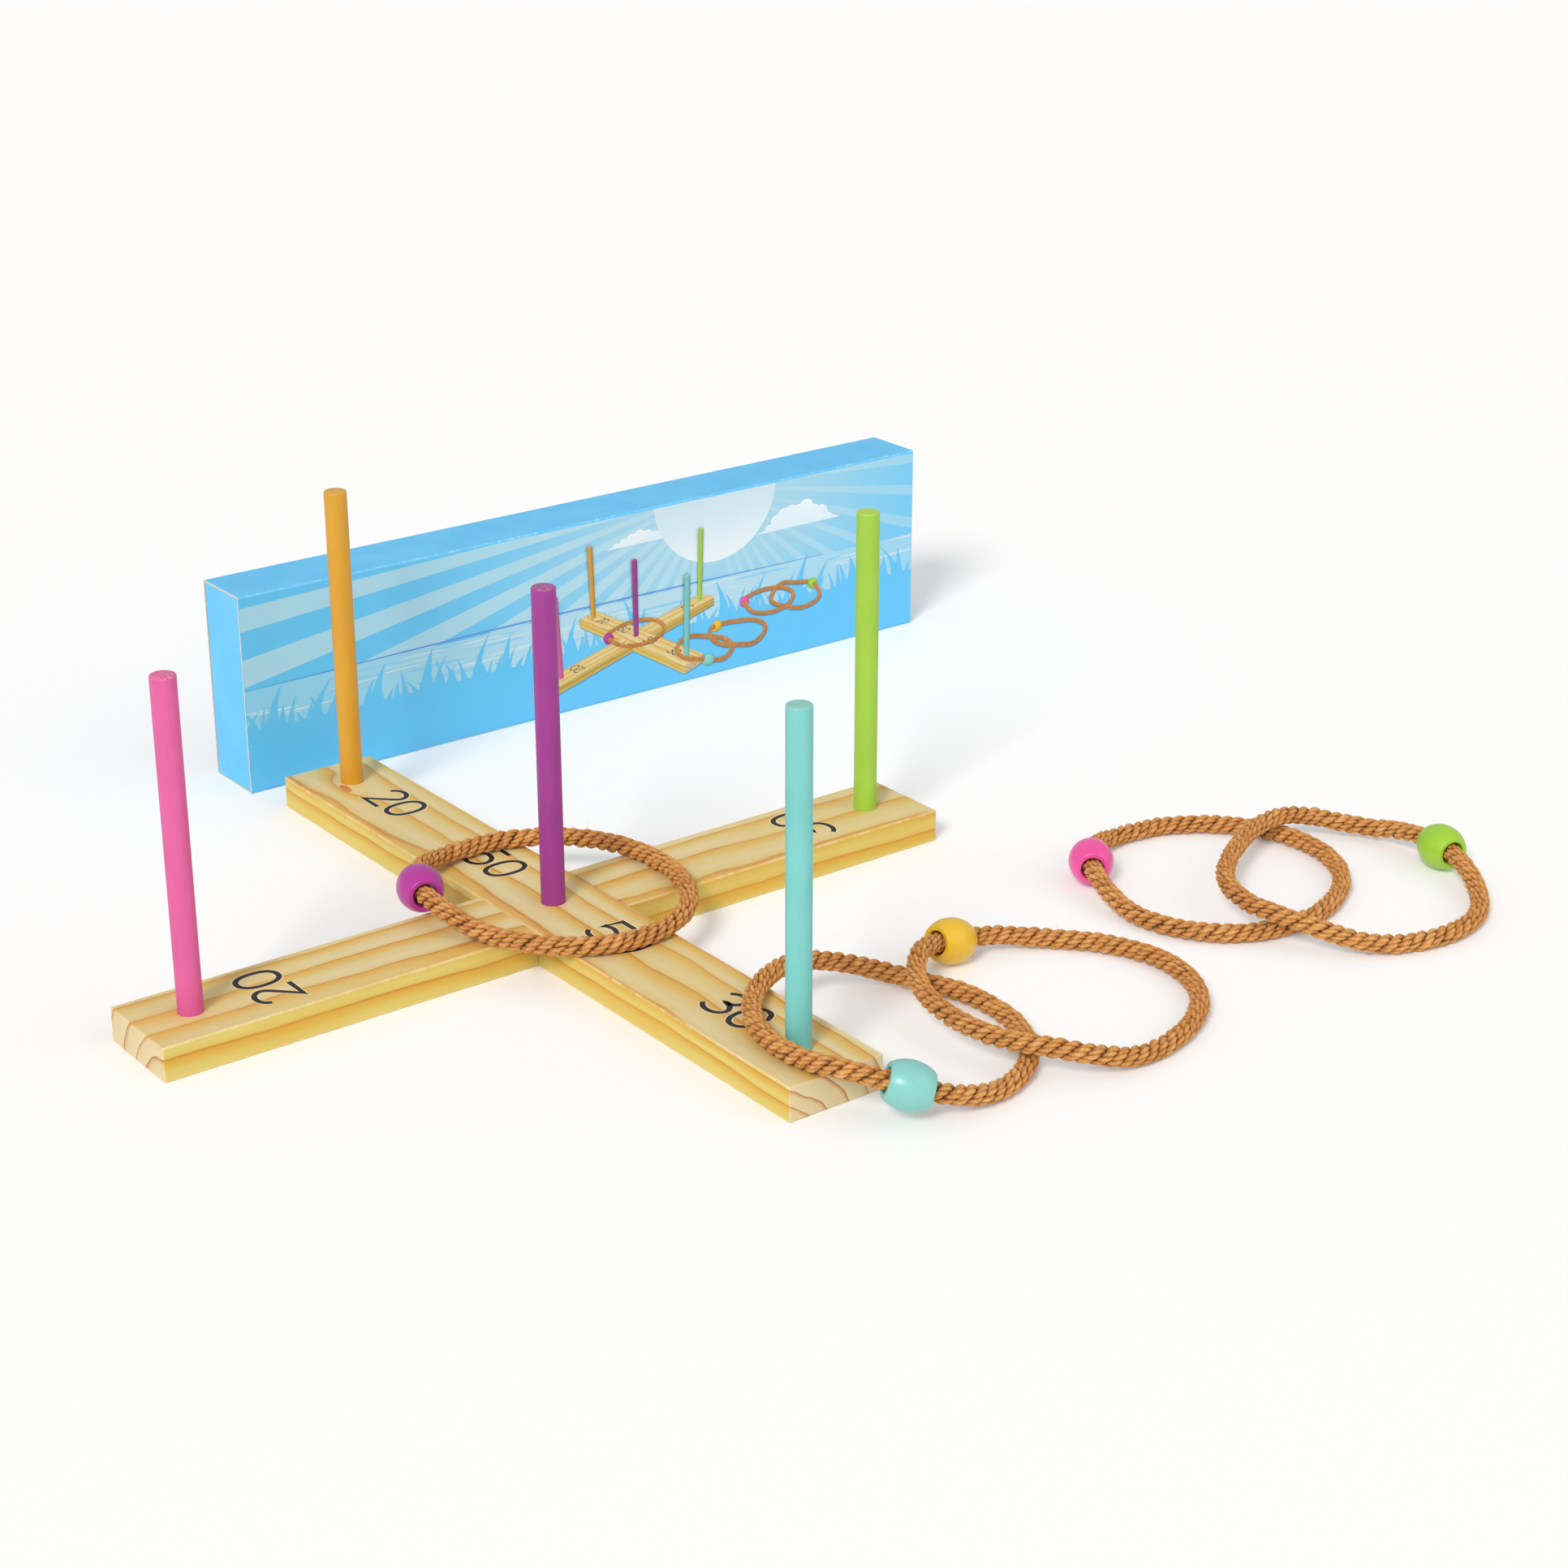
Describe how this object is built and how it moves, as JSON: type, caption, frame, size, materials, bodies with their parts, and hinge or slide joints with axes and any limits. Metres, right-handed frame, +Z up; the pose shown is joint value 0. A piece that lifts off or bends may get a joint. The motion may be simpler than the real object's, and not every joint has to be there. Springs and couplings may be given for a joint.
{
  "type": "ring toss set",
  "caption": "Crossed wooden lap-jointed base with upright coloured pegs, beaded rope rings to toss over them, and an upright storage carton with folding ends.",
  "frame": {"origin": "middle of the cross on the ground, the lower plank's underside", "axes": "+X along the lower plank from the pink peg to the lime peg, +Y along the upper plank from the cyan peg to the orange peg, +Z up along the pegs"},
  "size_m": [0.605, 0.5248, 0.165],
  "materials": {
    "plank_wood": "bare pine, lightly sanded",
    "peg_pink": "matt paint on a round hardwood dowel",
    "peg_lime": "matt paint on a round hardwood dowel",
    "peg_orange": "matt paint on a round hardwood dowel",
    "peg_cyan": "matt paint on a round hardwood dowel",
    "peg_purple": "matt paint on a round hardwood dowel",
    "rope_fibre": "coarse laid natural fibre",
    "bead_purple": "satin paint",
    "bead_cyan": "satin paint",
    "bead_yellow": "satin paint",
    "bead_pink": "satin paint",
    "bead_green": "satin paint",
    "carton_board": "printed and varnished carton board, bare inside"
  },
  "bodies": {
    "lower_plank": {"lower_plank": "plank_wood"},
    "upper_plank": {"upper_plank": "plank_wood"},
    "peg_pink": {"peg_pink": "peg_pink"},
    "peg_lime": {"peg_lime": "peg_lime"},
    "peg_orange": {"peg_orange": "peg_orange"},
    "peg_cyan": {"peg_cyan": "peg_cyan"},
    "peg_purple": {"peg_purple": "peg_purple"},
    "ring_purple": {"rope_purple": "rope_fibre", "bead_purple": "bead_purple"},
    "ring_cyan": {"rope_cyan": "rope_fibre", "bead_cyan": "bead_cyan"},
    "ring_yellow": {"rope_yellow": "rope_fibre", "bead_yellow": "bead_yellow"},
    "ring_pink": {"rope_pink": "rope_fibre", "bead_pink": "bead_pink"},
    "ring_green": {"rope_green": "rope_fibre", "bead_green": "bead_green"},
    "carton": {"carton_sleeve": "carton_board"},
    "tuck_flap_left": {"tuck_flap_left": "carton_board"},
    "tuck_flap_right": {"tuck_flap_right": "carton_board"},
    "dust_flap_left_top": {"dust_flap_left_top": "carton_board"},
    "dust_flap_left_bottom": {"dust_flap_left_bottom": "carton_board"},
    "dust_flap_right_top": {"dust_flap_right_top": "carton_board"},
    "dust_flap_right_bottom": {"dust_flap_right_bottom": "carton_board"}
  },
  "joints": [
    {"name": "lap_lift", "type": "slide", "parent": "lower_plank", "child": "upper_plank", "axis": [0, 0, 1], "range_m": [0, 0.06]},
    {"name": "peg_pink_pull", "type": "slide", "parent": "lower_plank", "child": "peg_pink", "axis": [0, 0, 1], "range_m": [0, 0.04]},
    {"name": "peg_lime_pull", "type": "slide", "parent": "lower_plank", "child": "peg_lime", "axis": [0, 0, 1], "range_m": [0, 0.04]},
    {"name": "peg_orange_pull", "type": "slide", "parent": "upper_plank", "child": "peg_orange", "axis": [0, 0, 1], "range_m": [0, 0.04]},
    {"name": "peg_cyan_pull", "type": "slide", "parent": "upper_plank", "child": "peg_cyan", "axis": [0, 0, 1], "range_m": [0, 0.04]},
    {"name": "peg_purple_pull", "type": "slide", "parent": "upper_plank", "child": "peg_purple", "axis": [0, 0, 1], "range_m": [0, 0.04]},
    {"name": "ring_purple_lift", "type": "slide", "parent": "upper_plank", "child": "ring_purple", "axis": [0, 0, 1], "range_m": [0, 0.17]},
    {"name": "ring_cyan_lift", "type": "slide", "parent": "upper_plank", "child": "ring_cyan", "axis": [0, 0, 1], "range_m": [0, 0.17]},
    {"name": "ring_yellow_lift", "type": "slide", "parent": "ring_cyan", "child": "ring_yellow", "axis": [0, 0, 1], "range_m": [0, 0.17]},
    {"name": "ring_pink_lift", "type": "slide", "parent": "lower_plank", "child": "ring_pink", "axis": [0, 0, 1], "range_m": [0, 0.17]},
    {"name": "ring_green_lift", "type": "slide", "parent": "ring_pink", "child": "ring_green", "axis": [0, 0, 1], "range_m": [0, 0.17]},
    {"name": "carton_lift", "type": "slide", "parent": "lower_plank", "child": "carton", "axis": [0, 0, 1], "range_m": [0, 0.12]},
    {"name": "tuck_flap_left_fold", "type": "hinge", "parent": "carton", "child": "tuck_flap_left", "pos_m": [-0.03, 0.2308, 0.052], "axis": [0, 0, 1], "range_deg": [0, 120]},
    {"name": "tuck_flap_right_fold", "type": "hinge", "parent": "carton", "child": "tuck_flap_right", "pos_m": [0.4, 0.2308, 0.052], "axis": [0, 0, -1], "range_deg": [0, 120]},
    {"name": "dust_flap_left_top_fold", "type": "hinge", "parent": "carton", "child": "dust_flap_left_top", "pos_m": [-0.0281, 0.2463, 0.1029], "axis": [0, -1, 0], "range_deg": [0, 85]},
    {"name": "dust_flap_left_bottom_fold", "type": "hinge", "parent": "carton", "child": "dust_flap_left_bottom", "pos_m": [-0.0281, 0.2463, 0.0011], "axis": [0, 1, 0], "range_deg": [0, 85]},
    {"name": "dust_flap_right_top_fold", "type": "hinge", "parent": "carton", "child": "dust_flap_right_top", "pos_m": [0.3981, 0.2463, 0.1029], "axis": [0, 1, 0], "range_deg": [0, 85]},
    {"name": "dust_flap_right_bottom_fold", "type": "hinge", "parent": "carton", "child": "dust_flap_right_bottom", "pos_m": [0.3981, 0.2463, 0.0011], "axis": [0, -1, 0], "range_deg": [0, 85]}
  ]
}
